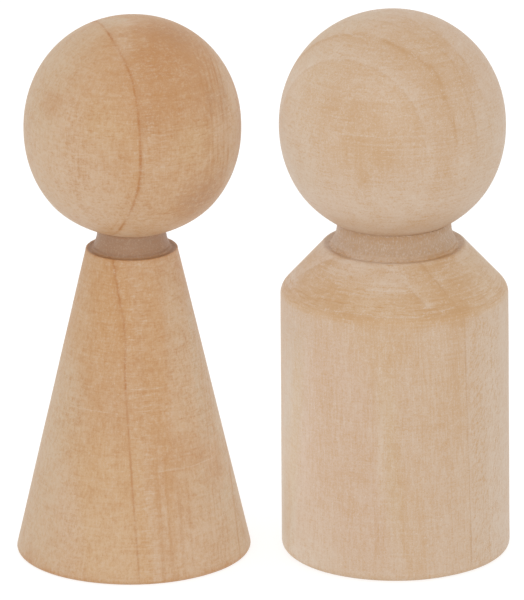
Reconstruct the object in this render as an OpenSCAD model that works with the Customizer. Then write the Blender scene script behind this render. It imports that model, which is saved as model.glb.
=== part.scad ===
// A pair of turned wooden peg dolls that stand side by side.
// One has a cone for its body, the other a straight round body with a bevelled shoulder.
// Each is a body with a short neck, a ball head, and a glued dowel that holds the head on.
// Millimetres, +Z up, the ground at z = 0 and the origin midway between the outer sides of the pair.

/* [Pair] */
// Diameter of the round rod that both dolls are turned from, and of the cone at the ground
rod_d = 25; // [22:0.1:40]
// Clear space between the two dolls, where they are widest
pair_gap = 3.4; // [1:0.1:20]

/* [Cone doll] */
// Diameter of the cone's flat top
cone_top_d = 9.7; // [9.1:0.1:14]
// Height of the cone, from the ground to its flat top
cone_h = 33.6; // [24:0.1:60]
// Diameter of the neck, where the head sits
cone_neck_d = 7.3; // [6.4:0.1:7.8]
// How far the neck spreads at its foot, on each side
cone_neck_flare = 0.3; // [0.1:0.05:0.6]
// Height of the neck that shows between the body and the head
cone_neck_h = 2.3; // [1.8:0.1:5]
// Depth of the dished top, from its rim down to the foot of the neck
cone_dish = 0.15; // [0.05:0.05:0.5]
// Diameter of the ball head
cone_head_d = 23.4; // [20:0.1:34]

/* [Straight doll] */
// How much the rod is turned down to make the straight body, on the diameter
straight_cut = 0.8; // [0:0.1:4]
// Height of the body's side, from the ground to the edge of the shoulder
straight_side_h = 28.9; // [20:0.1:60]
// Height of the bevelled shoulder, from its edge to its rim
shoulder_h = 5; // [2.5:0.1:9]
// Diameter of the shoulder's rim, round the foot of the neck
shoulder_top_d = 15; // [14.4:0.1:17]
// Diameter of the neck, where the head sits
straight_neck_d = 12.1; // [9:0.1:12.5]
// How far the neck spreads at its foot, on each side
straight_neck_flare = 0.45; // [0.1:0.05:0.7]
// Height of the neck that shows between the body and the head
straight_neck_h = 2.8; // [2:0.1:6]
// Depth of the dished top, from its rim down to the foot of the neck
straight_dish = 0.25; // [0.05:0.05:0.8]
// How much slimmer than its body the ball head is, on the diameter
straight_head_cut = 0.1; // [0:0.1:4]

/* [Dowels] */
// Diameter of the dowel in the cone doll
cone_dowel_d = 4; // [3:0.1:4.6]
// Length of the dowel in the cone doll
cone_dowel_l = 16; // [8:0.5:22]
// Diameter of the dowel in the straight doll
straight_dowel_d = 6; // [4:0.1:7.4]
// Length of the dowel in the straight doll
straight_dowel_l = 20; // [10:0.5:26]
// Glue flutes round each dowel
flute_count = 10; // [6:1:12]
// Radius of one flute
flute_r = 0.25; // [0.1:0.05:0.3]

/* [Edges] */
// Rounding of the edge that each body stands on
base_edge_r = 0.4; // [0.1:0.1:1.2]
// Rounding of the rim of the cone's flat top
cone_rim_r = 0.15; // [0.05:0.05:0.3]
// Rounding of the edge between the straight side and the shoulder
shoulder_edge_r = 1.5; // [0.2:0.1:3]
// Rounding of the shoulder's rim
shoulder_rim_r = 0.4; // [0.1:0.1:0.7]
// Diameter of the small flat that the lathe leaves on top of each head
crown_flat_d = 3; // [1:0.1:5]

/* [Fits] */
// Glue gap round each dowel, on the radius
glue_gap = 0.05; // [0.02:0.01:0.2]
// Glue room past the end of each dowel, in the head
glue_room = 0.5; // [0.2:0.1:2]
// How far the flat under each head stands past the neck, on the radius
seat_ledge = 0.1; // [0.05:0.05:0.4]

/* [Hidden] */
$fn = 160;

// Straight steps that make up each rounded edge
arc_steps = 8;
// Bead at the foot of each neck: how high it stands, its rounding and how far the crease under it goes in
bead_h = 0.4;
bead_r = 0.35;
bead_crease = 0.2;
// Rounding of the hollow side of each neck, and the share of the neck's height at which it bends
cove_r = 3;
cove_share = 0.55;
// Chamfer of the dowels' ends and of the mouths of their bores
dowel_chamfer = 0.5;
mouth_chamfer = 0.25;
// Cuts run past the surface by this much
overrun = 0.5;

// Radii of the two dolls
cone_base_r = rod_d / 2;
cone_top_r = cone_top_d / 2;
cone_neck_r = cone_neck_d / 2;
cone_head_r = cone_head_d / 2;
straight_r = (rod_d - straight_cut) / 2;
shoulder_top_r = shoulder_top_d / 2;
straight_neck_r = straight_neck_d / 2;
straight_head_r = straight_r - straight_head_cut / 2;

// The cone's sharp corner at the ground, before rounding brings it in to the widest point
cone_lean = atan((cone_base_r - cone_top_r) / cone_h);
cone_corner_r = cone_base_r + base_edge_r * (1 / tan(45 - cone_lean / 2) - 1);

// Places of the two dolls, which stand on one line
pair_w = 2 * cone_base_r + pair_gap + 2 * straight_r;
cone_x = cone_base_r - pair_w / 2;
straight_x = pair_w / 2 - straight_r;

// Heights at which the heads sit on the necks
shoulder_top_z = straight_side_h + shoulder_h;
cone_foot_z = cone_h - cone_dish;
cone_seat_z = cone_foot_z + cone_neck_h;
straight_foot_z = shoulder_top_z - straight_dish;
straight_seat_z = straight_foot_z + straight_neck_h;

// Colours of the wood, as it looks in daylight
cone_colour = [0.78, 0.64, 0.50];
straight_colour = [0.81, 0.70, 0.59];
dowel_colour = [0.79, 0.66, 0.52];

// The direction from one point to another
function toward(from, to) = (to - from) / norm(to - from);

// Points that round corner b, between a and c, with radius r
function corner_arc(a, b, c, r) =
  let (
    u = toward(b, a),
    w = toward(b, c),
    half = acos(u * w) / 2,
    centre = b + toward([0, 0], u + w) * r / sin(half),
    start = b + u * r / tan(half) - centre,
    turn = (u.x * w.y - u.y * w.x > 0 ? -1 : 1) * (180 - 2 * half),
    from = atan2(start.y, start.x)
  )
  [
    for (i = [0:arc_steps])
      let (angle = from + turn * i / arc_steps)
      centre + r * [cos(angle), sin(angle)]
  ];

// An outline whose corners are [x, y, rounding]; a corner with no rounding stays sharp
function rounded_outline(corners) =
  let (n = len(corners))
  [
    for (i = [0:n - 1])
      let (
        a = corners[(i + n - 1) % n],
        b = corners[i],
        c = corners[(i + 1) % n]
      )
      each b.z > 0
        ? corner_arc([a.x, a.y], [b.x, b.y], [c.x, c.y], b.z)
        : [[b.x, b.y]]
  ];

// Corners of a neck, from the crease at its foot to the axis above its flat top
function neck_corners(neck_r, flare, foot_z, seat_z) = [
  [neck_r + flare - bead_crease, foot_z, 0],
  [neck_r + flare, foot_z + bead_h, bead_r],
  [neck_r, foot_z + (seat_z - foot_z) * cove_share, cove_r],
  [neck_r, seat_z, 0],
  [0, seat_z, 0],
];

// A bore that runs down from z, with a small chamfer at its mouth
module dowel_bore(dowel_d, z, depth) {
  bore_r = dowel_d / 2 + glue_gap;
  translate([0, 0, z - depth])
    cylinder(r = bore_r, h = depth + overrun);
  translate([0, 0, z - mouth_chamfer])
    cylinder(r1 = bore_r, r2 = bore_r + mouth_chamfer + overrun, h = mouth_chamfer + overrun);
}

// A turned body: its outline spun round the axis, with the blind bore for the dowel
module turned_body(corners, dowel_d, dowel_l, seat_z) {
  difference() {
    rotate_extrude()
      polygon(rounded_outline(corners));
    dowel_bore(dowel_d, seat_z, dowel_l / 2);
  }
}

// A ball head: flat where it sits on the neck, with a small flat on its crown
module ball_head(head_r, neck_r, dowel_d, dowel_l, seat_z) {
  seat_r = neck_r + seat_ledge;
  centre_z = seat_z + sqrt(head_r ^ 2 - seat_r ^ 2);
  crown_z = centre_z + sqrt(head_r ^ 2 - (crown_flat_d / 2) ^ 2);
  difference() {
    intersection() {
      translate([0, 0, centre_z])
        sphere(r = head_r);
      translate([0, 0, seat_z])
        cylinder(r = head_r + overrun, h = crown_z - seat_z);
    }
    translate([0, 0, seat_z])
      mirror([0, 0, 1])
        dowel_bore(dowel_d, 0, dowel_l / 2 + glue_room);
  }
}

// A dowel with chamfered ends and straight glue flutes, half in the body and half in the head
module fluted_dowel(dowel_d, dowel_l, seat_z) {
  dowel_r = dowel_d / 2;
  translate([0, 0, seat_z - dowel_l / 2])
    difference() {
      rotate_extrude()
        polygon([
          [0, 0],
          [dowel_r - dowel_chamfer, 0],
          [dowel_r, dowel_chamfer],
          [dowel_r, dowel_l - dowel_chamfer],
          [dowel_r - dowel_chamfer, dowel_l],
          [0, dowel_l],
        ]);
      for (i = [0:flute_count - 1])
        rotate([0, 0, 360 * i / flute_count])
          translate([dowel_r, 0, -overrun])
            cylinder(r = flute_r, h = dowel_l + 2 * overrun);
    }
}

// The cone-shaped body and its neck
module cone_doll_body() {
  color(cone_colour)
    translate([cone_x, 0, 0])
      turned_body(
        [
          [0, 0, 0],
          [cone_corner_r, 0, base_edge_r],
          [cone_top_r, cone_h, cone_rim_r],
          each neck_corners(cone_neck_r, cone_neck_flare, cone_foot_z, cone_seat_z),
        ],
        cone_dowel_d,
        cone_dowel_l,
        cone_seat_z
      );
}

// The dowel between the cone and its head
module cone_doll_dowel() {
  color(dowel_colour)
    translate([cone_x, 0, 0])
      fluted_dowel(cone_dowel_d, cone_dowel_l, cone_seat_z);
}

// The head of the cone doll
module cone_doll_head() {
  color(cone_colour)
    translate([cone_x, 0, 0])
      ball_head(cone_head_r, cone_neck_r, cone_dowel_d, cone_dowel_l, cone_seat_z);
}

// The straight round body, its bevelled shoulder and its neck
module straight_doll_body() {
  color(straight_colour)
    translate([straight_x, 0, 0])
      turned_body(
        [
          [0, 0, 0],
          [straight_r, 0, base_edge_r],
          [straight_r, straight_side_h, shoulder_edge_r],
          [shoulder_top_r, shoulder_top_z, shoulder_rim_r],
          each neck_corners(
            straight_neck_r, straight_neck_flare, straight_foot_z, straight_seat_z
          ),
        ],
        straight_dowel_d,
        straight_dowel_l,
        straight_seat_z
      );
}

// The dowel between the straight body and its head
module straight_doll_dowel() {
  color(dowel_colour)
    translate([straight_x, 0, 0])
      fluted_dowel(straight_dowel_d, straight_dowel_l, straight_seat_z);
}

// The head of the straight doll
module straight_doll_head() {
  color(straight_colour)
    translate([straight_x, 0, 0])
      ball_head(straight_head_r, straight_neck_r, straight_dowel_d, straight_dowel_l, straight_seat_z);
}

cone_doll_body();
cone_doll_dowel();
cone_doll_head();
straight_doll_body();
straight_doll_dowel();
straight_doll_head();
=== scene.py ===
"""A pair of turned wooden peg dolls: plain sanded wood, photographed in soft light on white."""

import math

import bpy
from mathutils import Matrix, Vector, noise


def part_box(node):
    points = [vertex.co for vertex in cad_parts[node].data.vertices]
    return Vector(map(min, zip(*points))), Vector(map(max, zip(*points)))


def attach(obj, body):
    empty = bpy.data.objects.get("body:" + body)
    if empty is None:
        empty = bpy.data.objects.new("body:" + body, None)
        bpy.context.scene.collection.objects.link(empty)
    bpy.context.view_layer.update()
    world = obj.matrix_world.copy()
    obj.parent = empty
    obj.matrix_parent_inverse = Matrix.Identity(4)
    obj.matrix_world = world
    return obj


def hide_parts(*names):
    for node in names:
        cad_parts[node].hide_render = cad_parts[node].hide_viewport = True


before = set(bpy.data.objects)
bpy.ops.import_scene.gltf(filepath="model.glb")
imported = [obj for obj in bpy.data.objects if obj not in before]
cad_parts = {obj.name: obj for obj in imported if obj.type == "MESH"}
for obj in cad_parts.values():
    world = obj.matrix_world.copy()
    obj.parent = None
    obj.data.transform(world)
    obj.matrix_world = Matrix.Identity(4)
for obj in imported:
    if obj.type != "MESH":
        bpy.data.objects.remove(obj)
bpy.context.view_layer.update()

MM = 0.001

# How finely the pieces are turned: step along an outline in mm, steps round a corner, sides round the axis;
# and the angle in degrees from which an edge stays sharp
ROW_STEP = 0.3
ARC_STEPS = 6
SIDES = 224
SHARP_FROM = 40

# Where head and neck meet, in mm: glue gap, chamfer of a bore's mouth, glue room past the dowel, ledge of the
# head past the neck, rounding of the neck's upper edge
GLUE_GAP = 0.05
MOUTH_CHAMFER = 0.25
GLUE_ROOM = 0.5
SEAT_LEDGE = 0.1
SEAT_EDGE = 0.06

# The necks, in mm: a fillet at the foot, a low rounded bead and a long cove, up to a share of the height
NECK_FILLET = 0.25
BEAD_H = 0.45
BEAD_R = 0.5
COVE_R = 3
COVE_SHARE = 0.55

# How far a turned surface strays inwards, as a share of the radius or in mm, and over which length in mm
OVAL_SHARE = 0.0025
WAVER = 0.03
WAVER_LENGTH = 7
RIDGE = 0.008
RIDGE_PITCH = 0.9
FUZZ = 0.03
FUZZ_LENGTH = 0.5
SAW_RING = 0.03
SAW_PITCH = 0.8
CENTRE_DENT = 0.3
CENTRE_DENT_R = 0.7

# The camera: focal length and sensor in mm, distance and aim in metres, tilts in degrees
LENS = 450
SENSOR = 36
DISTANCE = 0.7939
AIM_SIDE = 0.00009
AIM_HEIGHT = 0.02755
PITCH = 18.0
ROLL = -0.42

# The floor: its tone, its glow on the dolls and to the camera, half its width and its height in metres
FLOOR_TONE = 0.35
FLOOR_GLOW = 0.56
FLOOR_GLOW_SEEN = 0.78
FLOOR_HALF = 3
FLOOR_Z = -0.00002

# The room's light; the key lamp's power in W, size and distance in metres, and its direction in degrees; the
# power of a fill lamp in W for each mm2, and its tone
ROOM_LIGHT = 0.872
KEY_POWER = 1.95
KEY_SIZE = 0.7
KEY_DISTANCE = 1.2
KEY_FACING = -98
KEY_LIFT = 24
FILL_POWER = 0.0000048
FILL_TONE = (0.5, 0.65, 0.8)

# How the growth layers swing: the grain of the slow and the quick swing in mm, and the quick one's share; the
# head's offset starts SEAT_EASE mm below the seat
SLOW_SWING = (9.0, 9.0, 16.0)
QUICK_SWING = (1.5, 1.5, 3.0)
QUICK_SHARE = 0.3
SEAT_EASE = 0.3

# Masks round patches (stains, and painted light under a ball and on a ledge) and round turned edges: their
# grain in mm, how uneven they are, and where they end and are full
PATCH_GRAIN = (2.0, 2.0, 1.6)
PATCH_UNEVEN = 0.8
PATCH_EDGE = (1.6, 0.5)
RING_GRAIN = (1.2, 1.2, 1.2)
RING_UNEVEN = 1.2
RING_EDGE = (1.8, 0.5)

# Strength of figure and marks; the cosine at which a side mask starts; how rare and how soft flecks are;
# width and depth of a scored line in mm
CONTRAST = 5.0
SIDE_FROM = 0.55
FLECK_LEVEL = 0.75
FLECK_EASE = 0.12
SCORE_WIDTH = 0.07
SCORE_DEPTH = 0.012

# Growth lines: where a band starts, and the grain, the limits and the least share of what wears a line
BAND_START = (-0.12, 0.06)
WORN_GRAIN = (2.0, 2.0, 3.5)
WORN_EDGE = (0.35, 0.62)
WORN_LEAST = 0.3

# Turning marks: how far they run in mm, and the grain and the limits of what wears them; how a scored line
# bends in mm; where mottle shows
MARK_RUN = 9.0
MARK_GRAIN = (3.5, 3.5, 2.0)
MARK_EDGE = (0.38, 0.6)
BEND_GRAIN = (3.0, 3.0, 3.0)
BEND = 0.5
MOTTLE_EDGE = (0.42, 0.66)

# How soft the neck's mask is outwards and upwards, in mm, and how much the figure changes the roughness
NECK_EASE = 0.15
NECK_TOP_EASE = 0.05
ROUGHNESS_SWING = 0.08

WHITE = (1, 1, 1, 1)


class Doll:
    """The sizes of one doll in mm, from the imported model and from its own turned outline."""

    def __init__(self, name, layers_facing, **sizes):
        body, head, dowel = (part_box(f"{name}_doll_{part}") for part in ("body", "head", "dowel"))
        self.name = name
        self.axis_x = (body[0].x + body[1].x) / 2
        self.base_r = (body[1].x - body[0].x) / 2 / MM
        self.seat_z = body[1].z / MM
        self.head_r = (head[1].x - head[0].x) / 2 / MM
        self.crown_z = head[1].z / MM
        self.dowel_r = (dowel[1].x - dowel[0].x) / 2 / MM
        self.dowel_half = (dowel[1].z - dowel[0].z) / 2 / MM
        self.layers_facing = math.radians(layers_facing)
        self.__dict__.update(sizes)
        self.head_z = self.seat_z + math.sqrt(self.head_r**2 - (self.neck_r + SEAT_LEDGE) ** 2)
        self.crown_r = math.sqrt(self.head_r**2 - (self.crown_z - self.head_z) ** 2)
        self.head_area = math.pi * self.head_r**2
        slope = (self.base_r + self.top_r) * (self.top_z - self.side_z)
        self.body_area = 2 * self.base_r * self.side_z + slope


# lean is how far each doll leans to the right, in mm for each mm of height; its head sits head_aside off
# its neck; ball_w and ball_h are half the width and height of its ball, fullness is 2 where it is round,
# and the ball draws in by pinch at its seat, from pinch_h above it
CONE = Doll(
    "cone", layers_facing=21.6, neck_r=3.65, neck_flare=0.38, foot_z=33.45, edge_r=0.4,
    side_z=0, top_r=4.85, top_z=33.6, rim_r=0.15,
    lean=0.005, head_aside=0.17, ball_w=11.47, ball_h=11.86, ball_lift=-0.05, fullness=2.07,
    pinch=0.65, pinch_h=3.2,
)
STRAIGHT = Doll(
    "straight", layers_facing=-122.5, neck_r=6.05, neck_flare=0.52, foot_z=33.65, edge_r=0.8,
    side_z=28.9, shoulder_r=1.5, top_r=7.5, top_z=33.9, rim_r=0.4, spread=0.12,
    lean=-0.0032, head_aside=-0.126, ball_w=11.98, ball_h=12.2, ball_lift=0.03, fullness=2.05,
    pinch=0.26, pinch_h=4.0,
)


# Turned outlines: corners of (radius, height, rounding, the stretch that starts there)


def corner_arc(before, corner, after, rounding):
    """Points that round a corner of an outline."""
    back = (before - corner).normalized()
    on = (after - corner).normalized()
    half = math.acos(max(-1, min(1, back.dot(on)))) / 2
    centre = corner + (back + on).normalized() * rounding / math.sin(half)
    spoke = corner + back * rounding / math.tan(half) - centre
    turn = math.copysign(math.pi - 2 * half, -(back.x * on.y - back.y * on.x))
    points = []
    for i in range(ARC_STEPS + 1):
        angle = turn * i / ARC_STEPS
        points.append(
            centre
            + Vector((
                spoke.x * math.cos(angle) - spoke.y * math.sin(angle),
                spoke.x * math.sin(angle) + spoke.y * math.cos(angle),
            ))
        )
    return points


def outline_of(corners):
    """Rows of (radius, height, stretch), with the corners rounded and the straights in short steps."""
    rounded = []
    places = [Vector(corner[:2]) for corner in corners]
    for i, (_, _, rounding, stretch) in enumerate(corners):
        if rounding:
            arc = corner_arc(places[i - 1], places[i], places[i + 1], rounding)
        else:
            arc = [places[i]]
        rounded += [(point, stretch) for point in arc]
    rows = []
    for (start, stretch), (end, _) in zip(rounded, rounded[1:]):
        steps = max(1, math.ceil((end - start).length / ROW_STEP))
        rows += [(start.lerp(end, i / steps), stretch) for i in range(steps)]
    return rows + [rounded[-1]]


def neck_corners(doll):
    """The neck, from the fillet at its foot to the outer edge of its flat top."""
    cove_z = doll.foot_z + (doll.seat_z - doll.foot_z) * COVE_SHARE
    return [
        (doll.neck_r + doll.neck_flare, doll.foot_z, NECK_FILLET, "neck"),
        (doll.neck_r + doll.neck_flare, doll.foot_z + BEAD_H, BEAD_R, "neck"),
        (doll.neck_r, cove_z, COVE_R, "neck"),
        (doll.neck_r, doll.seat_z, SEAT_EDGE, "seat"),
    ]


def bore_corners(doll, away):
    """The bore for the dowel, from its mouth in the seat to its end; away is -1 down or 1 up."""
    bore_r = doll.dowel_r + GLUE_GAP
    end_z = doll.seat_z + away * (doll.dowel_half + (GLUE_ROOM if away > 0 else 0))
    return [
        (bore_r + MOUTH_CHAMFER, doll.seat_z, 0, "bore"),
        (bore_r, doll.seat_z + away * MOUTH_CHAMFER, 0, "bore"),
        (bore_r, end_z, 0, "bore"),
        (0, end_z, 0, "bore"),
    ]


def cone_body_outline(doll):
    """The cone with its flat top, its neck and its bore."""
    lean = math.atan((doll.base_r - doll.top_r) / doll.top_z)
    corner_r = doll.base_r + doll.edge_r * (1 / math.tan(math.pi / 4 - lean / 2) - 1)
    return outline_of([
        (0, 0, 0, "underside"),
        (corner_r, 0, doll.edge_r, "side"),
        (doll.top_r, doll.top_z, doll.rim_r, "neck"),
        *neck_corners(doll),
        *bore_corners(doll, -1),
    ])


def straight_body_outline(doll):
    """The straight body with its bevelled shoulder, its neck and its bore."""
    return outline_of([
        (0, 0, 0, "underside"),
        (doll.base_r + doll.spread, 0, doll.edge_r, "side"),
        (doll.base_r, doll.side_z, doll.shoulder_r, "side"),
        (doll.top_r, doll.top_z, doll.rim_r, "neck"),
        *neck_corners(doll),
        *bore_corners(doll, -1),
    ])


def head_outline(doll):
    """The head, a slightly full ball, from the end of its bore round to the small flat on its crown."""
    power = 2 / doll.fullness
    middle_z = doll.head_z + doll.ball_lift
    start = -math.asin(((middle_z - doll.seat_z) / doll.ball_h) ** (1 / power))
    end = math.acos((doll.crown_r / doll.ball_w) ** (1 / power))
    steps = math.ceil((end - start) * doll.ball_h / ROW_STEP)
    ball = []
    for i in range(steps + 1):
        angle = start + (end - start) * i / steps
        z = middle_z + doll.ball_h * math.copysign(abs(math.sin(angle)) ** power, angle)
        drawn_in = doll.pinch * max(0, 1 - (z - doll.seat_z) / doll.pinch_h) ** 2
        ball.append((doll.ball_w * math.cos(angle) ** power - drawn_in, z, 0, "side"))
    bore = [(r, z, 0, "bore") for r, z, _, _ in reversed(bore_corners(doll, 1))]
    seat = (doll.neck_r + SEAT_LEDGE, doll.seat_z, 0, "side")
    return outline_of([*bore, seat, *ball, (0, ball[-1][1], 0, "side")])


# Turned meshes


def uneven(place):
    """Soft noise at a place, about from 0 to 1."""
    return 0.5 + 0.5 * noise.noise(place)


def strayed(doll, stretch, radius, height, angle):
    """How far a point lies inside the true shape: wood moves, and a hand-held tool wavers."""
    place = Vector((radius * math.cos(angle), radius * math.sin(angle), height))
    if stretch == "side":
        oval = OVAL_SHARE * radius * math.sin(angle - doll.layers_facing) ** 2
        waver = WAVER * uneven(place / WAVER_LENGTH)
        return oval + waver + RIDGE * uneven(Vector((radius, height, 0)) / RIDGE_PITCH)
    if stretch == "neck":
        return FUZZ * abs(noise.noise(place / FUZZ_LENGTH))
    if stretch == "underside":
        dent = CENTRE_DENT * math.exp(-((radius / CENTRE_DENT_R) ** 2))
        return dent + SAW_RING * uneven(Vector((radius / SAW_PITCH, 0, 0)))
    return 0


def moved_aside(doll, stretch, radius, height, off_centre):
    """How far a point stands aside: the doll leans a little, but its bores stay on their dowel."""
    share = 1
    if stretch in ("bore", "seat"):
        mouth_r = doll.dowel_r + GLUE_GAP + MOUTH_CHAMFER
        share = max(0, min(1, (radius - mouth_r) / (doll.neck_r - mouth_r)))
    return (doll.lean * height + off_centre) * share


def outward(rows, i):
    """The direction out of the solid at one row of an outline."""
    before = rows[max(i - 1, 0)][0]
    after = rows[min(i + 1, len(rows) - 1)][0]
    along = (after - before).normalized()
    return Vector((along.y, -along.x))


def turned(name, doll, rows, finish, node, off_centre):
    """A closed solid, turned about the doll's axis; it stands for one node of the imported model."""
    points, rings = [], []
    for i, (place, stretch) in enumerate(rows):
        out = outward(rows, i)
        middle_x = doll.axis_x + moved_aside(doll, stretch, place.x, place.y, off_centre) * MM
        rings.append(len(points))
        for k in range(SIDES if place.x > 0 else 1):
            angle = 2 * math.pi * k / SIDES
            at = place - out * strayed(doll, stretch, place.x, place.y, angle)
            radius = max(at.x, 0) if place.x > 0 else 0
            points.append((
                middle_x + radius * math.cos(angle) * MM,
                radius * math.sin(angle) * MM,
                at.y * MM,
            ))
    rings.append(len(points))
    faces = []
    for low, high, top in zip(rings, rings[1:], rings[2:]):
        for k in range(SIDES):
            following = (k + 1) % SIDES
            if high - low == 1:
                faces.append((low, high + following, high + k))
            elif top - high == 1:
                faces.append((low + k, low + following, high))
            else:
                faces.append((low + k, low + following, high + following, high + k))
    mesh = bpy.data.meshes.new(name)
    mesh.from_pydata(points, [], faces)
    mesh.materials.append(finish)
    mesh.shade_smooth()
    mesh.set_sharp_from_angle(angle=math.radians(SHARP_FROM))
    piece = bpy.data.objects.new(name, mesh)
    bpy.context.scene.collection.objects.link(piece)
    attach(piece, "root")
    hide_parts(node)
    return piece


# Shader nodes


def join(tree, value, socket):
    """Links a socket to another one, or sets it to a plain value."""
    if isinstance(value, bpy.types.NodeSocket):
        tree.links.new(value, socket)
    else:
        socket.default_value = value


def add(tree, kind, inputs=(), **settings):
    """A node with its settings and its inputs, which go by name or by number."""
    made = tree.nodes.new("ShaderNode" + kind)
    for name, value in settings.items():
        setattr(made, name, value)
    for key, value in dict(inputs).items():
        join(tree, value, made.inputs[key])
    return made


def reckon(tree, operation, *values):
    """One step of arithmetic."""
    return add(tree, "Math", enumerate(values), operation=operation).outputs[0]


def vector(tree, operation, *values):
    """One step of arithmetic on vectors."""
    made = add(tree, "VectorMath", enumerate(values), operation=operation)
    return made.outputs["Value" if operation in ("DOT_PRODUCT", "LENGTH") else "Vector"]


def eased(tree, value, low, high, to_low=0.0, to_high=1.0):
    """A value that goes smoothly from to_low to to_high as value goes from low to high."""
    inputs = {"Value": value, "From Min": low, "From Max": high, "To Min": to_low, "To Max": to_high}
    return add(tree, "MapRange", inputs, interpolation_type="SMOOTHSTEP").outputs[0]


def noisy(tree, place, detail=2.0, roughness=0.5):
    """Soft noise from 0 to 1."""
    inputs = {"Vector": place, "Scale": 1.0, "Detail": detail, "Roughness": roughness}
    return add(tree, "TexNoise", inputs).outputs[0]


def swung(tree, noise_value, reach):
    """Noise from 0 to 1 made into a swing to both sides of nought, with that reach from end to end."""
    return reckon(tree, "MULTIPLY_ADD", noise_value, reach, -reach / 2)


def bell(tree, away, width):
    """1 in the middle, falling off softly to both sides over a width."""
    widths = reckon(tree, "POWER", reckon(tree, "DIVIDE", away, width), 2.0)
    return reckon(tree, "EXPONENT", reckon(tree, "MULTIPLY", widths, -1.0))


def parts_of(tree, place):
    """The x, y and z of a place."""
    return add(tree, "SeparateXYZ", {0: place}).outputs


def level_part(tree, place):
    """A place without its height."""
    return vector(tree, "MULTIPLY", place, (1, 1, 0))


def mixed(tree, share, below, above):
    """Two colours, with a share of the second."""
    inputs = {0: share, 6: below, 7: above}
    return add(tree, "Mix", inputs, data_type="RGBA").outputs[2]


def group(name, outputs, **inputs):
    """An empty node group with sockets listed by kind: its tree, its inputs in order and its outputs."""
    tree = bpy.data.node_groups.new(name, "ShaderNodeTree")
    for in_out, kinds in (("INPUT", inputs), ("OUTPUT", outputs)):
        for kind, labels in kinds.items():
            for label in labels.split():
                tree.interface.new_socket(label, in_out=in_out, socket_type=f"NodeSocket{kind}")
    given = tree.nodes.new("NodeGroupInput").outputs[:-1]
    return tree, given, tree.nodes.new("NodeGroupOutput").inputs


def placed(tree, made_group, **inputs):
    """A node group in a material, with its own values."""
    node = add(tree, "Group", node_tree=made_group)
    for name, value in inputs.items():
        join(tree, value, node.inputs[name])
    return node.outputs


def direction(facing):
    """The level direction that faces one way, in degrees."""
    return math.cos(math.radians(facing)), math.sin(math.radians(facing)), 0


def stretched(tree, place, x, y, z):
    """A place in mm, counted in grains that are x, y and z mm long."""
    size = add(tree, "CombineXYZ", {0: x, 1: y, 2: z}).outputs[0]
    return vector(tree, "DIVIDE", place, size)


# Shared effects, each a node group


def timber_frame():
    """Where a point lies in the wood: from the doll's axis, and across, along and up its growth layers."""
    tree, (point, axis, layers, level, wander, lean, aside, seat), made = group(
        "timber_frame", {"Vector": "Spot Grain", "Float": "Across"},
        Vector="Point Axis Layers", Float="Level Wander Lean Aside Seat",
    )
    upright = vector(tree, "DIVIDE", vector(tree, "SUBTRACT", point, axis), (MM, MM, MM))
    up = parts_of(tree, upright)[2]
    on_head = eased(tree, up, reckon(tree, "SUBTRACT", seat, SEAT_EASE), seat)
    off = reckon(tree, "MULTIPLY_ADD", up, lean, reckon(tree, "MULTIPLY", on_head, aside))
    spot = vector(tree, "SUBTRACT", upright, add(tree, "CombineXYZ", {0: off}).outputs[0])
    middle = add(tree, "CombineXYZ", {2: level}).outputs[0]
    across = vector(tree, "DOT_PRODUCT", vector(tree, "SUBTRACT", spot, middle), layers)
    side = vector(tree, "NORMALIZE", vector(tree, "CROSS_PRODUCT", (0, 0, 1), layers))
    along = vector(tree, "DOT_PRODUCT", spot, side)
    grain = add(tree, "CombineXYZ", {0: across, 1: along, 2: parts_of(tree, spot)[2]}).outputs[0]
    slow = noisy(tree, stretched(tree, grain, *SLOW_SWING), detail=1.0)
    quick = noisy(tree, stretched(tree, grain, *QUICK_SWING))
    swing = reckon(tree, "ADD", reckon(tree, "SUBTRACT", slow, 0.5), swung(tree, quick, QUICK_SHARE))
    join(tree, spot, made["Spot"])
    join(tree, grain, made["Grain"])
    join(tree, reckon(tree, "MULTIPLY_ADD", swing, wander, across), made["Across"])
    return tree


def growth_line():
    """One growth line: the thin dark line itself, and the band beside it that fades to one side."""
    tree, (across, at, width, fade), made = group(
        "growth_line", {"Float": "Line Band"}, Float="Across At Width Fade"
    )
    away = reckon(tree, "SUBTRACT", across, at)
    join(tree, bell(tree, away, width), made["Line"])
    fades = reckon(tree, "DIVIDE", away, fade)
    faded = reckon(tree, "EXPONENT", reckon(tree, "MULTIPLY", reckon(tree, "MAXIMUM", fades, 0.0), -1.0))
    join(tree, reckon(tree, "MULTIPLY", faded, eased(tree, fades, *BAND_START)), made["Band"])
    return tree


def between():
    """A mask that shows between two values, with soft ends."""
    tree, (value, low, high, ease), made = group("between", {"Float": "Mask"}, Float="Value Low High Ease")
    masks = []
    for end, outwards, inwards in ((low, "SUBTRACT", "ADD"), (high, "ADD", "SUBTRACT")):
        start = reckon(tree, outwards, end, ease)
        masks.append(eased(tree, value, start, reckon(tree, inwards, end, ease)))
    join(tree, reckon(tree, "MULTIPLY", *masks), made["Mask"])
    return tree


def soft_patch():
    """A soft patch in the wood, round a middle, with an uneven edge."""
    tree, (spot, middle, reach), made = group("soft_patch", {"Float": "Patch"}, Vector="Spot Middle Reach")
    away = vector(tree, "DIVIDE", vector(tree, "SUBTRACT", spot, middle), reach)
    ragged = noisy(tree, stretched(tree, spot, *PATCH_GRAIN), detail=3.0)
    far = reckon(tree, "MULTIPLY_ADD", ragged, PATCH_UNEVEN, vector(tree, "LENGTH", away))
    join(tree, eased(tree, far, *PATCH_EDGE), made["Patch"])
    return tree


def figure():
    """The figure of the wood at one size of grain, from -1 where it is dark to 1 where it is pale."""
    tree, (place, size), made = group("figure", {"Float": "Figure"}, Vector="Place Size")
    found = noisy(tree, vector(tree, "DIVIDE", place, size), roughness=0.55)
    join(tree, swung(tree, found, CONTRAST), made["Figure"])
    return tree


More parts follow.
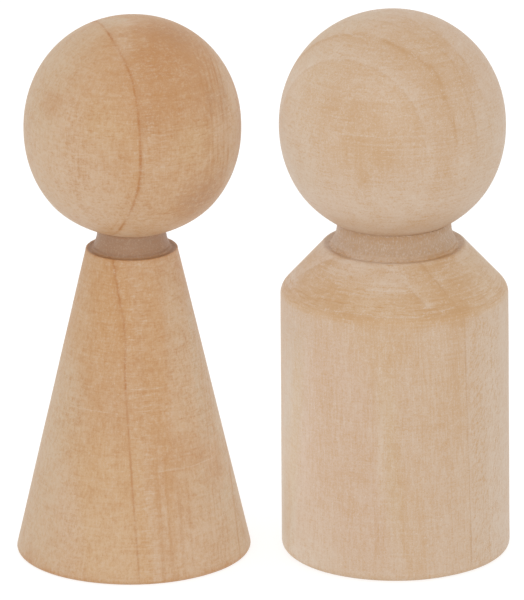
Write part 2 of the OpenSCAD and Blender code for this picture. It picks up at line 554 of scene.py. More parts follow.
def edge_ring():
    """A mask that shows round one turned edge, which is a radius and a height, with an uneven width."""
    tree, (spot, radius, height, width), made = group(
        "edge_ring", {"Float": "Ring"}, Vector="Spot", Float="Radius Height Width"
    )
    out = reckon(tree, "SUBTRACT", vector(tree, "LENGTH", level_part(tree, spot)), radius)
    up = reckon(tree, "SUBTRACT", parts_of(tree, spot)[2], height)
    away = vector(tree, "LENGTH", add(tree, "CombineXYZ", {0: out, 1: up}).outputs[0])
    ragged = noisy(tree, stretched(tree, spot, *RING_GRAIN), detail=3.0)
    far = reckon(tree, "MULTIPLY_ADD", ragged, RING_UNEVEN, reckon(tree, "DIVIDE", away, width))
    join(tree, eased(tree, far, *RING_EDGE), made["Ring"])
    return tree


def facing_of(tree, spot, facing):
    """How far a spot's side of the doll faces one way, from -1 to 1."""
    return vector(tree, "DOT_PRODUCT", vector(tree, "NORMALIZE", level_part(tree, spot)), facing)


def one_side():
    """A mask that shows on the side of the doll that faces one way, with soft ends."""
    tree, (spot, facing), made = group("one_side", {"Float": "Side"}, Vector="Spot Facing")
    join(tree, eased(tree, facing_of(tree, spot, facing), SIDE_FROM, 1.0), made["Side"])
    return tree


def ray_flecks():
    """Rays: thin ribbons that run across the growth layers, seen as short flecks."""
    tree, (place, size, amount), made = group(
        "ray_flecks", {"Float": "Flecks"}, Vector="Place Size", Float="Amount"
    )
    found = noisy(tree, vector(tree, "DIVIDE", place, size), detail=1.0)
    least = reckon(tree, "SUBTRACT", FLECK_LEVEL, amount)
    join(tree, eased(tree, found, least, reckon(tree, "ADD", least, FLECK_EASE)), made["Flecks"])
    return tree


def turning_marks():
    """Faint marks that run round the axis, where the tool and the abrasive went, from -1 to 1."""
    tree, (spot, pitch), made = group("turning_marks", {"Float": "Marks"}, Vector="Spot", Float="Pitch")
    ring = noisy(tree, stretched(tree, spot, MARK_RUN, MARK_RUN, pitch))
    worn = noisy(tree, stretched(tree, spot, *MARK_GRAIN), detail=1.0)
    shown = eased(tree, worn, *MARK_EDGE)
    join(tree, reckon(tree, "MULTIPLY", swung(tree, ring, CONTRAST), shown), made["Marks"])
    return tree


def scored_line():
    """A fine scored line that runs part of the way round the axis, facing one way."""
    tree, (spot, facing, height, width, spread), made = group(
        "scored_line", {"Float": "Score"}, Vector="Spot Facing", Float="Height Width Open"
    )
    full = reckon(tree, "MULTIPLY_ADD", spread, 0.7, 0.3)
    shown = eased(tree, facing_of(tree, spot, facing), spread, full)
    bent = swung(tree, noisy(tree, stretched(tree, spot, *BEND_GRAIN)), BEND)
    away = reckon(tree, "SUBTRACT", reckon(tree, "ADD", parts_of(tree, spot)[2], bent), height)
    join(tree, reckon(tree, "MULTIPLY", bell(tree, away, width), shown), made["Score"])
    return tree


def two_tone():
    """Takes a colour towards a dark tone where the figure is below zero, and towards a pale one above."""
    tree, (colour, dark, pale, figure), made = group(
        "two_tone", {"Color": "Colour"}, Color="Colour Dark Pale", Float="Figure"
    )
    above = add(tree, "Clamp", {0: figure}).outputs[0]
    below = add(tree, "Clamp", {0: reckon(tree, "MULTIPLY", figure, -1.0)}).outputs[0]
    join(tree, mixed(tree, below, mixed(tree, above, colour, pale), dark), made["Colour"])
    return tree


TIMBER_FRAME = timber_frame()
GROWTH_LINE = growth_line()
BETWEEN = between()
SOFT_PATCH = soft_patch()
FIGURE = figure()
EDGE_RING = edge_ring()
ONE_SIDE = one_side()
RAY_FLECKS = ray_flecks()
TURNING_MARKS = turning_marks()
SCORED_LINE = scored_line()
TWO_TONE = two_tone()


class Wood:
    """One wood finish in the making: its colour, the figure that shades it and its relief in mm."""

    def __init__(self, name, doll, tone, dark, pale, wander, lean=0.0, level=50.0, upright=False):
        self.material = bpy.data.materials.new(name)
        self.material.use_nodes = True
        self.tree = self.material.node_tree
        self.doll, self.dark, self.pale = doll, dark, pale
        point = add(self.tree, "TexCoord").outputs["Object"]
        layers = Vector((math.cos(doll.layers_facing), math.sin(doll.layers_facing), lean)).normalized()
        found = placed(
            self.tree, TIMBER_FRAME,
            Point=point, Axis=(doll.axis_x, 0, 0), Layers=layers, Level=level, Wander=wander,
            Lean=0.0 if upright else doll.lean, Aside=0.0 if upright else doll.head_aside, Seat=doll.seat_z,
        )
        self.spot, self.grain, self.across = found["Spot"], found["Grain"], found["Across"]
        self.height = parts_of(self.tree, self.spot)[2]
        self.colour = (*tone, 1)
        self.shade = 0.0
        self.relief = 0.0

    def times(self, *values):
        """The product of several masks and shares."""
        product = values[0]
        for value in values[1:]:
            product = reckon(self.tree, "MULTIPLY", product, value)
        return product

    def tint(self, mask, tone, share):
        """Lays a tone over the wood where the mask shows."""
        self.colour = mixed(self.tree, self.times(mask, share), self.colour, (*tone, 1))

    def tint_side(self, facing, heights, tone, share):
        """Lays a tone over the side that faces one way, between two heights."""
        self.tint(self.times(self.side_mask(facing), self.between(self.height, *heights)), tone, share)

    def tint_edge(self, radius, height, width, tone, share):
        """Lays a tone round one turned edge."""
        self.tint(self.edge_mask(radius, height, width), tone, share)

    def calm(self, share):
        """Weakens the figure laid so far."""
        self.shade = self.times(self.shade, share)

    def shade_by(self, signed, share, depth=0.0):
        """Adds to the figure, and to the relief by a depth in mm."""
        self.shade = reckon(self.tree, "MULTIPLY_ADD", signed, share, self.shade)
        if depth:
            self.relief = reckon(self.tree, "MULTIPLY_ADD", signed, depth, self.relief)

    def between(self, value, low, high, ease):
        """A mask that shows between two values."""
        return placed(self.tree, BETWEEN, Value=value, Low=low, High=high, Ease=ease)["Mask"]

    def patch_mask(self, middle, reach):
        """A mask that shows round one place."""
        return placed(self.tree, SOFT_PATCH, Spot=self.spot, Middle=middle, Reach=reach)["Patch"]

    def edge_mask(self, radius, height, width):
        """A mask that shows round one turned edge."""
        return placed(self.tree, EDGE_RING, Spot=self.spot, Radius=radius, Height=height, Width=width)["Ring"]

    def side_mask(self, facing):
        """A mask that shows on the side that faces one way, in degrees."""
        return placed(self.tree, ONE_SIDE, Spot=self.spot, Facing=direction(facing))["Side"]

    def mottle(self, size, tone, share):
        """Small soft spots of another tone, all over."""
        found = noisy(self.tree, vector(self.tree, "DIVIDE", self.grain, size))
        self.tint(eased(self.tree, found, *MOTTLE_EDGE), tone, share)

    def swing(self, middle, reach, amount):
        """Makes the growth layers swing aside near one place, by an amount in mm."""
        self.across = reckon(self.tree, "MULTIPLY_ADD", self.patch_mask(middle, reach), amount, self.across)

    def growth_line(self, at, width, tone, share, fade, band_tone, band_share, heights=None):
        """One growth line, with the band that fades away beside it, between two heights if given."""
        found = placed(self.tree, GROWTH_LINE, Across=self.across, At=at, Width=width, Fade=fade)
        worn = noisy(self.tree, stretched(self.tree, self.grain, *WORN_GRAIN), detail=3.0)
        where = self.between(self.height, *heights) if heights else 1.0
        self.tint(self.times(found["Band"], where), band_tone, band_share)
        left = eased(self.tree, worn, *WORN_EDGE, WORN_LEAST)
        self.tint(self.times(found["Line"], left, where), tone, share)

    def stripe(self, low, high, ease, heights, tone, share):
        """A band of another tone between two growth layers and between two heights."""
        beside = self.between(self.across, low, high, ease)
        self.tint(self.times(beside, self.between(self.height, *heights)), tone, share)

    def patches(self, tone, share, *places):
        """Soft patches of another tone, each with its middle's x, y and z and its reach in x, y and z."""
        for place in places:
            self.tint(self.patch_mask(place[:3], place[3:]), tone, share)

    def figure(self, size, share, depth=0.0, mask=1.0):
        """The figure at one size of grain: across, along and up its layers."""
        found = placed(self.tree, FIGURE, Place=self.grain, Size=size)["Figure"]
        self.shade_by(self.times(found, mask), share, depth)

    def flecks(self, size, amount, share, mask=1.0, lean=0.0):
        """Ray flecks of one size, leaning by degrees, where the mask shows; a share below zero is dark."""
        place = self.grain
        if lean:
            turned_by = {"Vector": place, "Angle": math.radians(lean)}
            place = add(self.tree, "VectorRotate", turned_by, rotation_type="Y_AXIS").outputs[0]
        found = placed(self.tree, RAY_FLECKS, Place=place, Size=size, Amount=amount)["Flecks"]
        self.shade_by(self.times(found, mask), share)

    def turning(self, pitch, share, depth, mask=1.0):
        """Turning marks of one pitch, where the mask shows."""
        found = placed(self.tree, TURNING_MARKS, Spot=self.spot, Pitch=pitch)["Marks"]
        self.shade_by(self.times(found, mask), share, depth)

    def scored(self, *lines):
        """Fine scored lines, each a height, where it faces and how far it spreads in degrees, and a share."""
        for height, facing, spread, share in lines:
            found = placed(
                self.tree, SCORED_LINE, Spot=self.spot, Height=height, Width=SCORE_WIDTH,
                Facing=direction(facing), Open=math.cos(math.radians(spread)),
            )["Score"]
            self.shade_by(found, share, -SCORE_DEPTH)

    def neck_mask(self, reach, ease):
        """A mask that shows on the neck out to a radius, with a soft lower end."""
        radius = vector(self.tree, "LENGTH", level_part(self.tree, self.spot))
        inside = eased(self.tree, radius, reach + NECK_EASE, reach - NECK_EASE)
        low, seat = self.doll.foot_z - ease, self.doll.seat_z
        above = eased(self.tree, self.height, low, low + 2 * ease)
        return self.times(inside, above, eased(self.tree, self.height, seat + NECK_TOP_EASE, seat))

    def finish(self, roughness):
        """Joins the colour, an uneven roughness and the relief to the shader."""
        shader = self.tree.nodes["Principled BSDF"]
        colour = placed(
            self.tree, TWO_TONE,
            Colour=self.colour, Dark=(*self.dark, 1), Pale=(*self.pale, 1), Figure=self.shade,
        )["Colour"]
        join(self.tree, colour, shader.inputs["Base Color"])
        duller = reckon(self.tree, "MULTIPLY_ADD", self.shade, ROUGHNESS_SWING, roughness)
        join(self.tree, duller, shader.inputs["Roughness"])
        bump = add(self.tree, "Bump", {"Height": self.relief, "Distance": MM, "Strength": 1.0})
        join(self.tree, bump.outputs[0], shader.inputs["Normal"])
        return self.material


# The woods. Tones are linear colours. Spots and reaches are in mm, as (x, y, z) from the doll's axis and the
# ground. Growth lines and stripes go by their distance across the layers. Heights are a low end, a high end
# and how soft both are.


def cone_wood():
    """Warm wood, cut so that its growth layers meet the front edge on."""
    tan = (0.575, 0.358, 0.2)
    pale = (0.645, 0.475, 0.33)
    grey = (0.568, 0.428, 0.285)
    yellow = (0.59, 0.385, 0.205)
    honey = (0.605, 0.415, 0.255)
    gold = (0.625, 0.41, 0.215)
    orange = (0.56, 0.305, 0.125)
    red = (0.5, 0.24, 0.09)
    dark = (0.43, 0.165, 0.035)
    brown = (0.47, 0.21, 0.06)
    dusk = (0.43, 0.22, 0.1)
    neck_tone = (0.365, 0.213, 0.127)
    haze_and_sheen = (0.612, 0.49, 0.345)
    wood = Wood("cone_wood", CONE, tan, brown, pale, wander=0.45, lean=-0.021)
    wood.swing((-1, -6, 26.5), (6, 6, 5), -0.35)
    wood.swing((-1.6, -8.2, 37.8), (6.5, 6.5, 6.5), 0.5)
    wood.swing((-2.6, -4.4, 57), (5.5, 5.5, 4.5), 0.35)

    # Painted sheen: paler and greyer towards both sides, where the white room shows at a grazing angle,
    # partly also the wood's own haze; paler towards the base, and painted light under the ball
    # The left side, which takes the painted sheen and fewer flecks
    faded = wood.side_mask(190)
    wood.tint(faded, haze_and_sheen, 0.55)
    wood.tint_side(190, (10, 20, 3), haze_and_sheen, 0.2)
    wood.tint_side(-8, (-2, 29, 4), grey, 0.6)
    wood.tint_side(-4, (4, 30, 4), haze_and_sheen, 0.6)
    wood.tint_side(-8, (40, 57, 3), haze_and_sheen, 0.3)
    # Of these pale patches, those 38 to 43 mm high are painted light on the underside of the ball, where it
    # is shaded; those near the base only make it paler
    wood.patches(
        pale, 0.45,
        (-3, -10, 2, 9, 9, 8), (7, -9, 1, 9, 8, 8), (-5, -9, 43, 8, 5, 6), (-2, -6, 38, 8, 6, 3),
    )
    wood.patches(pale, 0.25, (4, -11, 4, 7, 5, 6), (-6, -8, 6, 5, 5, 6), (-3, -7.8, 38.6, 4, 4, 3))
    wood.patches(pale, 0.35, (-2.6, -8.6, 38.4, 3.4, 3.4, 2.4))

    # Warm and pale stripes on the body
    for stripe in (
        (-5, -1.8, 0.5, (24, 34, 3), orange, 0.6),
        (-1, 1.6, 0.5, (2, 32, 3), orange, 0.3),
        (-2.8, 1.2, 0.6, (15, 33, 3), orange, 0.22),
        (2, 5, 0.4, (10, 31, 3), honey, 0.65),
        (-7, -4.4, 0.5, (23, 31, 3), orange, 0.4),
        (-6.4, -4.9, 0.5, (11, 25, 3), orange, 0.25),
        (-8, -1.6, 1, (-2, 15, 4), gold, 0.5),
        (-2.6, -1.4, 0.3, (-2, 9, 2), orange, 0.4),
        (-9.2, -7.6, 0.4, (3, 12, 3), pale, 0.3),
        (0, 0.55, 0.15, (3, 14, 3), pale, 0.35),
    ):
        wood.stripe(*stripe)
    for low, high in ((-0.5, -0.05), (0.6, 0.9), (1.9, 2.3), (3.1, 3.35)):
        wood.stripe(low, high, 0.12, (-1, 11, 3), brown, 0.24)

    # Thin streaks on the right of the body and of the head, then the dark line that runs down the front
    for at, share in ((5.9, 0.15), (6.5, 0.35), (6.95, 0.2), (7.5, 0.3), (8.1, 0.15), (9.8, 0.6)):
        wood.growth_line(at, 0.12, brown, share, -0.5, brown, 0.08, (-2, 32, 3))
    for at, share in ((4.6, 0.4), (5.2, 0.7), (5.9, 0.8), (6.4, 0.6), (6.8, 1), (7.5, 0.7), (9.8, 0.6)):
        wood.growth_line(at, 0.13, brown, share, -0.5, brown, 0.14, (42, 60, 3))
    for at, width, share, fade, band_share, heights in (
        (-3.9, 0.12, 0.5, -0.8, 0.3, (34, 42, 1.5)),
        (-3.1, 0.35, 0.25, -1.6, 0.3, (20, 60, 6)),
        (-3.22, 0.1, 0.8, -0.6, 0.1, (46, 58, 3)),
        (-2.93, 0.11, 0.9, -2.2, 0.25, (20, 35.5, 0.5)),
        (-3.22, 0.11, 1, -2.2, 0.25, (35.5, 60, 0.5)),
        (-2.93, 0.11, 0.6, -0.6, 0.2, (-2, 20, 4)),
    ):
        wood.growth_line(at, width, dark, share, fade, orange, band_share, heights)

    # Stains; the red one on the crown has a sharp left edge
    wood.patches(
        red, 0.75,
        (5, -4.2, 56.2, 7.2, 6.8, 4.8), (1.8, -7, 55.2, 4.4, 4.8, 4.8), (2.8, -2.6, 57.8, 2.8, 3.6, 2.6),
    )
    right_half = eased(wood.tree, parts_of(wood.tree, wood.spot)[0], 0, 0.5)
    wood.tint(wood.times(right_half, wood.patch_mask((2.4, -4.6, 56.8), (5, 5.4, 4))), red, 0.35)
    wood.patches(pale, 0.4, (-0.9, -5, 56.8, 1.3, 3.4, 2.6))
    wood.patches(dusk, 0.75, (7.4, -6.8, 40.8, 4.2, 4.6, 3.8))
    wood.patches(dusk, 0.4, (4.6, -2, 57.6, 4.4, 4, 2.6), (1.6, -10.2, 50.4, 1.6, 2, 2.4))
    wood.patches(
        red, 0.45,
        (2.8, -9.8, 51.4, 4.4, 3.8, 3.4), (6.6, -7.8, 52.4, 4.6, 4.4, 4.6),
        (-8.4, -6.6, 51.2, 2.2, 2.6, 1.8), (-0.2, -10.9, 51.6, 1.7, 1.7, 1.3),
        (5.7, -7.4, 13.4, 3.8, 3.4, 2.8), (6.4, -2.4, 31.5, 2.6, 3, 4), (-11, -5.8, 0.6, 2.8, 2.8, 1.9),
        (-8.6, -9.2, 0.1, 3, 3, 0.8), (8.7, -4.8, 11, 2.6, 3.2, 3.4),
    )
    wood.patches(yellow, 0.6, (6.3, -9.3, 47.5, 3.6, 3.4, 3.2), (-3, -10.5, 50, 4, 3.4, 4))
    wood.patches(
        pale, 0.5,
        (-0.4, -1.2, 58.4, 1.5, 1.6, 1.6), (-9.8, -5.6, 44.4, 3, 5, 5.4), (8.4, -8.1, 45.8, 0.8, 0.8, 0.9),
        (3.4, -11.1, 45.7, 0.6, 0.6, 0.7), (-6.4, -9, 50.5, 2.6, 2.6, 3.2),
        (-5.4, -7.4, 39.6, 4.6, 4.6, 3.2), (9.8, -6, 48.6, 2.2, 3.4, 2.8), (-6, -9.6, 45.2, 5.4, 4.4, 5.2),
        (10.6, -3, 50.4, 2, 4, 3.6),
    )
    wood.patches(pale, 0.35, (-2, -9.2, 40.6, 4.2, 3.6, 3))
    wood.growth_line(-3.22, 0.12, dark, 0.9, -0.6, orange, 0.05, (43, 52, 2))
    wood.patches(red, 0.5, (-1.5, -5.5, 57.1, 0.8, 0.9, 0.9))
    wood.patches(dusk, 0.4, (9.5, -4.4, 51.2, 0.9, 3.2, 3.4), (8.2, -6.6, 51.6, 0.6, 2.4, 2.8))
    wood.tint_edge(CONE.base_r, 0.05, 0.7, red, 0.65)

    # Mottle, figure from broad streaks to fine pores, ray flecks and the marks of tool and abrasive
    wood.mottle((0.5, 0.5, 0.35), orange, 0.28)
    wood.mottle((1.2, 1.2, 0.8), red, 0.14)
    wood.figure((2.4, 2.4, 18), 0.14)
    wood.figure((0.2, 0.2, 2), 0.2, 0.002)
    low = eased(wood.tree, wood.height, 4, 24, 0.4, 1)
    wood.figure((0.9, 0.5, 0.17), 0.15, 0.003, low)
    wood.figure((0.5, 0.5, 0.8), 0.12)
    wood.figure((1.6, 1.6, 1.4), 0.12)
    wood.figure((0.24, 0.24, 0.24), 0.18, 0.004)
    wood.figure((0.11, 0.11, 0.11), 0.24, 0.002)
    wood.flecks((0.9, 0.9, 0.13), 0.2, -0.24, wood.times(low, eased(wood.tree, faded, 0, 0.6, 1, 0.3)))
    wood.flecks((1, 0.5, 0.16), 0.2, 0.36, wood.between(wood.across, -2.7, -0.4, 0.3))
    wood.flecks((0.28, 0.28, 0.24), 0.1, 0.34)
    wood.turning(0.3, 0.18, 0.003)
    wood.scored((20.3, -78, 14, 0.6), (17.8, -120, 22, 0.5), (11.7, -52, 24, 0.5), (49.4, -62, 18, -0.3))
    wood.calm(eased(wood.tree, wood.height, 49, 57, 1, 0.75))

    # The duller neck: its tone is partly the end grain's own and partly painted shade from the head
    neck = wood.neck_mask(CONE.top_r - 0.2, 0.3)
    wood.calm(eased(wood.tree, neck, 0, 1, 1, 0.3))
    wood.tint(neck, neck_tone, 0.9)
    wood.tint_edge(CONE.top_r, CONE.top_z, 0.3, red, 0.45)
    wood.tint_edge(CONE.neck_r, CONE.seat_z, 0.3, dark, 0.35)
    wood.figure((0.16, 0.16, 0.2), 0.2, 0.006, neck)
    wood.flecks((0.2, 0.2, 0.24), 0.14, 0.2, neck)
    return wood.finish(0.5)


def straight_wood():
    """Paler wood, cut so that its growth layers lie flat to the front."""
    beige = (0.617, 0.45, 0.318)
    pale = (0.68, 0.546, 0.43)
    tan = (0.585, 0.375, 0.205)
    brown = (0.54, 0.31, 0.135)
    dark = (0.46, 0.25, 0.11)
    pink = (0.615, 0.43, 0.305)
    yellow = (0.6, 0.425, 0.245)
    neck_tone = (0.49, 0.322, 0.203)
    honey = (0.655, 0.458, 0.272)
    grey = (0.545, 0.438, 0.322)
    haze_and_sheen = (0.648, 0.56, 0.44)
    wood = Wood("straight_wood", STRAIGHT, beige, brown, pale, wander=0.45, lean=-0.03)

    # Painted sheen: paler and greyer towards both sides, where the white room shows at a grazing angle,
    # partly also the wood's own haze; and warmer over the shoulder
    wood.tint_side(190, (-2, 22, 6), haze_and_sheen, 0.4)
    wood.tint_side(185, (40, 60, 3), haze_and_sheen, 0.55)
    wood.tint_side(188, (-2, 11, 3), haze_and_sheen, 0.45)
    wood.tint_side(-8, (-2, 51, 3), haze_and_sheen, 0.22)
    wood.patches(pale, 0.35, (-3.6, -3.2, 57.6, 4.6, 3.6, 2))
    wood.patches(pale, 0.5, (-6, -3.6, 56.4, 3.6, 3.4, 2.2))
    wood.tint_side(190, (13, 28, 3), grey, 0.45)
    wood.tint(wood.between(wood.height, 28.6, 34.2, 0.5), honey, 0.5)
    wood.tint_side(-10, (-2, 10, 6), pale, 0.3)

    # Growth lines: wide arcs on the head, slanting lines on the shoulder and one line down the right
    wood.swing((4.8, -6.6, 55.2), (3.4, 3.8, 3.6), 0.8)
    for line in (
        (0.2, 0.16, dark, 0.3, 2.6, brown, 0.32, (52, 60, 3)),
        (0.9, 0.3, pale, 0.2, 3.4, brown, 0.35, (29, 35, 1)),
        (2.3, 0.16, dark, 0.3, 1.5, tan, 0.4, (46, 60, 4)),
        (5, 0.18, dark, 0.38, 2.2, brown, 0.45, (44, 60, 4)),
        (5, 0.22, dark, 0.25, 1.8, brown, 0.3, (54, 60, 1)),
        (5, 0.5, brown, 0.3, -1.3, brown, 0.35, (44, 60, 4)),
        (5.1, 0.1, dark, 0.5, 1.4, tan, 0.3, (0, 34, 3)),
        (8, 0.14, dark, 0.28, 3, tan, 0.5, (48, 60, 4)),
        (7.9, 0.3, pale, 0.2, -1, pale, 0.35, (51, 60, 3)),
        (7.7, 0.14, dark, 0.2, 1.8, brown, 0.6, (29, 34, 0.5)),
        (7.6, 0.3, pale, 0.2, -1.2, pale, 0.35, (29, 34, 0.5)),
        (5.1, 0.13, dark, 0.35, 1.2, brown, 0.3, (29.5, 34, 0.5)),
    ):
        wood.growth_line(*line)
    for stripe in (
        (12.1, 14, 0.5, (2, 27, 4), pink, 0.7),
        (11.1, 12, 0.4, (6, 24, 4), yellow, 0.4),
        (9.8, 11.4, 0.15, (-1, 12, 4), tan, 0.3),
        (5.4, 9.7, 0.8, (16, 31, 5), tan, 0.28),
        (5.8, 6.8, 0.25, (15, 28, 3), brown, 0.2),
        (-3, 2, 0.8, (0, 28, 4), pale, 0.3),
    ):
        wood.stripe(*stripe)

    # Stains and pale patches
    wood.patches(
        brown, 0.45,
        (-4.8, -10.1, 51, 4.2, 4, 3), (-1, -12, 47.1, 1.8, 1.8, 2), (-3.1, -11.4, 44.5, 1, 1.2, 1.6),
        (4.2, -5, 57, 2.8, 2.8, 1.4), (-7, -7.4, 30.6, 4.6, 4.2, 1.8), (6, -8.2, 31.2, 4.4, 3.8, 2.6),
        (-4.5, -11, 28.6, 3.6, 2.4, 1), (7, -9.6, 28.4, 2.6, 2.6, 1.6),
    )
    wood.patches(
        tan, 0.6,
        (4.8, -6.8, 33.2, 3.2, 3.2, 1.6), (-1.5, -12, 26, 5.4, 3, 4.6), (-5.8, -8, 31, 4, 3.4, 1.8),
        (6.2, -8.8, 30.4, 3, 3, 1.8),
    )
    wood.patches(
        brown, 0.5,
        (5.4, -5.4, 33.9, 2.6, 3, 1.1), (4.6, -10.8, 29, 2.4, 2, 1), (-5.2, -10.4, 29.4, 3.2, 2.4, 0.8),
        (6.4, -9.8, 29.6, 3.8, 2.6, 0.9),
    )
    wood.patches(brown, 0.25, (7.2, -7, 53.6, 1.8, 2, 1.8), (2.4, -2.6, 58.4, 3, 3, 1.2))
    wood.patches(tan, 0.5, (0, -12, 28.4, 6.5, 3, 0.9), (-3, -10, 47.5, 6, 4, 4))
    wood.patches(
        pale, 0.35,
        (3.7, -11.2, 46.5, 0.9, 1.2, 3), (2.6, -10.4, 41.5, 1.2, 1.4, 2.4), (-1, -9.5, 41, 9, 6, 4),
        (0, -3.6, 57.8, 2, 0.9, 0.6), (-2.5, -8.2, 33, 5, 3.4, 1.8), (-9.5, -7, 3, 5, 6, 7),
        # The first patch on the next line is painted light on the ledge left of the neck, where head and neck
        # shade it
        (-7.6, -2, 34, 2.6, 4, 1.6), (-2, -9.9, 53.6, 2.2, 2.4, 1.8),
    )
    wood.patches(
        pale, 0.5,
        (6.9, -9.8, 45.4, 1.4, 2, 3.2), (-11.4, -0.6, 30.8, 1.6, 4.2, 2.2), (-0.6, -9, 32.2, 3, 2.4, 2),
        (-4, -5.6, 34.2, 3.8, 2.8, 0.9), (-11.2, -1.6, 30.6, 1.9, 4.2, 2.6), (-1.6, -12, 13, 0.7, 1, 7),
        (-5, -6.6, 33.2, 3, 2.6, 1.4), (-1.4, -4.6, 57.6, 1.4, 1.4, 0.8),
    )

    # Mottle and figure, upright on the body and level on head and shoulder
    above = eased(wood.tree, wood.height, 28, 30, 0.5, 1)
    below = eased(wood.tree, wood.height, 28, 30, 1.3, 0.7)
    wood.mottle((0.5, 0.5, 0.4), tan, 0.2)
    wood.mottle((1.3, 1.3, 0.6), brown, 0.1)
    wood.figure((2.4, 2.4, 18), 0.14)
    wood.figure((0.16, 0.16, 1.8), 0.17, 0.003, below)
    wood.figure((0.4, 0.4, 3), 0.1, 0, below)
    wood.figure((0.8, 0.8, 0.16), 0.14, 0.002, above)
    wood.figure((1.6, 1.6, 1.4), 0.1)
    wood.figure((0.22, 0.22, 0.24), 0.18, 0.004)
    wood.figure((0.11, 0.11, 0.12), 0.26, 0.002)

    # Slanting flecks down the body, long ones round the shoulder, and the marks of tool and abrasive
    curly = wood.times(wood.between(wood.across, -1, 4.8, 0.4), wood.between(wood.height, 0, 28, 2))
    wood.flecks((0.24, 0.5, 0.9), 0.25, -0.34, curly, lean=35)
    wood.flecks((0.2, 0.5, 0.7), 0.22, 0.26, curly, lean=35)
    shoulder = wood.between(wood.height, 29, 34, 0.6)
    wood.figure((1.4, 1.4, 0.22), 0.2, 0.002, shoulder)
    wood.turning(0.45, 0.2, 0.002, shoulder)
    wood.flecks((0.5, 0.5, 0.13), 0.16, -0.35, above)
    corner = wood.edge_mask(STRAIGHT.base_r - 0.6, STRAIGHT.side_z + 0.9, 1.8)
    wood.flecks((2.4, 2.4, 0.15), 0.24, -0.6, corner)
    wood.flecks((0.26, 0.26, 0.26), 0.12, 0.4)
    wood.turning(0.25, 0.26, 0.003, above)
    wood.scored((31.5, -96, 14, 0.6), (29.3, -88, 16, 0.4), (49, -100, 28, 0.25), (30.2, -120, 14, -0.4))

    # The duller, fuzzier neck, and the turned edges, with painted light on the ledge round the neck's foot
    # and painted shade under the head
    neck = wood.neck_mask(STRAIGHT.neck_r + STRAIGHT.neck_flare, 0.9)
    wood.calm(eased(wood.tree, neck, 0, 1, 1, 0.5))
    wood.tint(neck, neck_tone, 0.8)
    # Painted light on the ledge round the neck's foot, where head and neck shade it, fading out towards the
    # right front
    left = eased(wood.tree, wood.side_mask(-45), 0, 1, 1, 0)
    painted_ledge_light = wood.edge_mask(STRAIGHT.top_r - 0.4, STRAIGHT.foot_z, 1.1)
    wood.tint(wood.times(painted_ledge_light, left), pale, 0.8)
    wood.tint_edge(STRAIGHT.base_r - 0.3, STRAIGHT.side_z + 0.3, 0.7, brown, 0.3)
    wood.tint_edge(STRAIGHT.base_r, 0.3, 1.2, pale, 0.25)
    wood.tint_edge(STRAIGHT.base_r, 0, 0.9, tan, 0.85)
    # A dark ring round the top of the neck: partly the glue joint, partly painted shade under the head
    wood.tint_edge(STRAIGHT.neck_r, STRAIGHT.seat_z, 1, dark, 0.6)
    wood.figure((0.15, 0.15, 0.3), 0.45, 0.018, neck)
    wood.flecks((0.2, 0.2, 0.6), 0.16, 0.35, neck)
    foot = wood.edge_mask(STRAIGHT.neck_r + STRAIGHT.neck_flare, STRAIGHT.foot_z, 0.6)
    wood.flecks((0.5, 0.5, 0.2), 0.25, -0.6, foot)
    return wood.finish(0.5)


def dowel_wood(doll):
    """The fluted dowel inside a doll: straight pale grain."""
    tan = (0.585, 0.4, 0.24)
    brown = (0.47, 0.28, 0.145)
    pale = (0.65, 0.48, 0.32)
    wood = Wood(f"{doll.name}_dowel_wood", doll, tan, brown, pale, wander=0.4, upright=True)
    wood.growth_line(0.4, 0.1, brown, 0.5, 0.8, brown, 0.4)
    wood.figure((0.25, 0.25, 5), 0.3, 0.004)
    wood.figure((0.3, 0.3, 0.4), 0.15, 0.002)
    return wood.finish(0.6)


def dress():
    """Turns the visible pieces, and gives the hidden dowels their wood; returns each doll's pieces."""
    cone_finish, straight_finish = cone_wood(), straight_wood()
    pieces = {CONE: [], STRAIGHT: []}
    for doll, part, outline, finish, off_centre in (
        (CONE, "body", cone_body_outline, cone_finish, 0),
        (CONE, "head", head_outline, cone_finish, CONE.head_aside),
        (STRAIGHT, "body", straight_body_outline, straight_finish, 0),
        (STRAIGHT, "head", head_outline, straight_finish, STRAIGHT.head_aside),
    ):
        name, node, slot = f"turned_{doll.name}_{part}", f"{doll.name}_doll_{part}", f"{doll.name}_wood"
        pieces[doll].append(turned(name, doll, outline(doll), finish, node, off_centre))
    for doll in pieces:
        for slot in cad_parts[f"{doll.name}_doll_dowel"].material_slots:
            slot.material = dowel_wood(doll)
    return pieces


# The stage


def seen_directly(tree):
    """1 for rays from the camera and for reflections, 0 for the light that falls on the dolls."""
    path = add(tree, "LightPath").outputs
    mirrored = reckon(tree, "MAXIMUM", path["Is Glossy Ray"], path["Is Transmission Ray"])
    return reckon(tree, "MAXIMUM", path["Is Camera Ray"], mirrored)


def white_floor():
    """A pale floor that renders white and keeps a soft shadow."""
    material = bpy.data.materials.new("white_floor")
    material.use_nodes = True
    tree = material.node_tree
    tree.nodes.clear()
    shade = add(tree, "BsdfDiffuse", {"Color": (FLOOR_TONE, FLOOR_TONE, FLOOR_TONE, 1)})
    level = eased(tree, seen_directly(tree), 0.0, 1.0, FLOOR_GLOW, FLOOR_GLOW_SEEN)
    glow = add(tree, "Emission", {"Color": WHITE, "Strength": level})
    both = add(tree, "AddShader", {0: shade.outputs[0], 1: glow.outputs[0]})
    add(tree, "OutputMaterial", {"Surface": both.outputs[0]})
    return material


def lay_floor():
    """The floor, just under the dolls."""
    mesh = bpy.data.meshes.new("floor")
    corners = [(x * FLOOR_HALF, y * FLOOR_HALF, FLOOR_Z) for x, y in ((-1, -1), (1, -1), (1, 1), (-1, 1))]
    mesh.from_pydata(corners, [], [(0, 1, 2, 3)])
    mesh.materials.append(white_floor())
    floor = bpy.data.objects.new("floor", mesh)
    bpy.context.scene.collection.objects.link(floor)


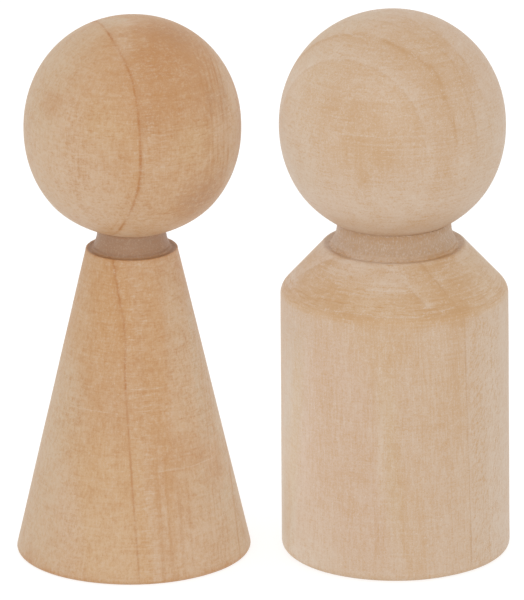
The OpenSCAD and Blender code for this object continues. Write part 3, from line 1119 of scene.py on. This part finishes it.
def light_room():
    """A white room: even light from all round."""
    world = bpy.data.worlds.new("white_room")
    world.use_nodes = True
    tree = world.node_tree
    tree.nodes.clear()
    even = add(tree, "Background", {"Color": WHITE, "Strength": ROOM_LIGHT})
    seen = add(tree, "Background", {"Color": WHITE, "Strength": 1.0})
    mix = add(tree, "MixShader", {0: seen_directly(tree), 1: even.outputs[0], 2: seen.outputs[0]})
    add(tree, "OutputWorld", {"Surface": mix.outputs[0]})
    bpy.context.scene.world = world


def softbox(name, width, height, power, place, facing, tone=(1, 1, 1)):
    """A soft rectangular light at a place in metres, with the direction that leads back from it."""
    data = bpy.data.lights.new(name, "AREA")
    data.shape = "RECTANGLE"
    data.size, data.size_y = width, height
    data.energy = power
    data.color = tone
    lamp = bpy.data.objects.new(name, data)
    lamp.location = place
    lamp.rotation_mode = "QUATERNION"
    lamp.rotation_quaternion = facing.to_track_quat("Z", "Y")
    lamp.visible_camera = False
    bpy.context.scene.collection.objects.link(lamp)
    return lamp


def key_light():
    """The main soft light, up in front and a little to the left."""
    turn, lift = math.radians(KEY_FACING), math.radians(KEY_LIFT)
    away = Vector((math.cos(turn) * math.cos(lift), math.sin(turn) * math.cos(lift), math.sin(lift)))
    softbox("key", KEY_SIZE, KEY_SIZE, KEY_POWER, Vector((0, 0, AIM_HEIGHT)) + away * KEY_DISTANCE, away)


def light_past(doll, neighbour, pieces, head_share, body_share):
    """Gives one doll back part of the light that its neighbour takes from it, from the neighbour's place."""
    facing = Vector((1 if neighbour.axis_x > doll.axis_x else -1, 0, 0))
    lit = bpy.data.collections.new(f"{doll.name}_doll_pieces")
    for piece in pieces:
        lit.objects.link(piece)
    body_h = neighbour.body_area / (2 * neighbour.base_r)
    for part, radius, height, middle, area in (
        ("head", neighbour.head_r, 2 * neighbour.head_r, neighbour.head_z, neighbour.head_area * head_share),
        ("body", neighbour.base_r, body_h, body_h / 2, neighbour.body_area * body_share),
    ):
        lamp = softbox(
            f"{doll.name}_fill_past_{part}", 2 * radius * MM, height * MM, FILL_POWER * area,
            Vector((neighbour.axis_x, 0, middle * MM)), facing, FILL_TONE,
        )
        lamp.light_linking.receiver_collection = lit
        lamp.light_linking.blocker_collection = lit


def place_camera():
    """A long lens that looks down at the pair from the front."""
    data = bpy.data.cameras.new("camera")
    data.lens = LENS
    data.sensor_width = SENSOR
    camera = bpy.data.objects.new("camera", data)
    pitch, roll = math.radians(PITCH), math.radians(ROLL)
    ahead = Vector((0, math.cos(pitch), -math.sin(pitch)))
    up = Vector((0, math.sin(pitch), math.cos(pitch)))
    side = Vector((1, 0, 0))
    right = side * math.cos(roll) + up * math.sin(roll)
    top = up * math.cos(roll) - side * math.sin(roll)
    turn = Matrix((right, top, -ahead)).transposed().to_4x4()
    aim = Vector((AIM_SIDE, 0, AIM_HEIGHT))
    camera.matrix_world = Matrix.Translation(aim - ahead * DISTANCE) @ turn
    bpy.context.scene.collection.objects.link(camera)
    bpy.context.scene.camera = camera


pieces = dress()
lay_floor()
light_room()
key_light()
light_past(CONE, STRAIGHT, pieces[CONE], head_share=0.55, body_share=0.65)
light_past(STRAIGHT, CONE, pieces[STRAIGHT], head_share=0.95, body_share=1.0)
place_camera()
bpy.context.scene.view_settings.view_transform = "Standard"
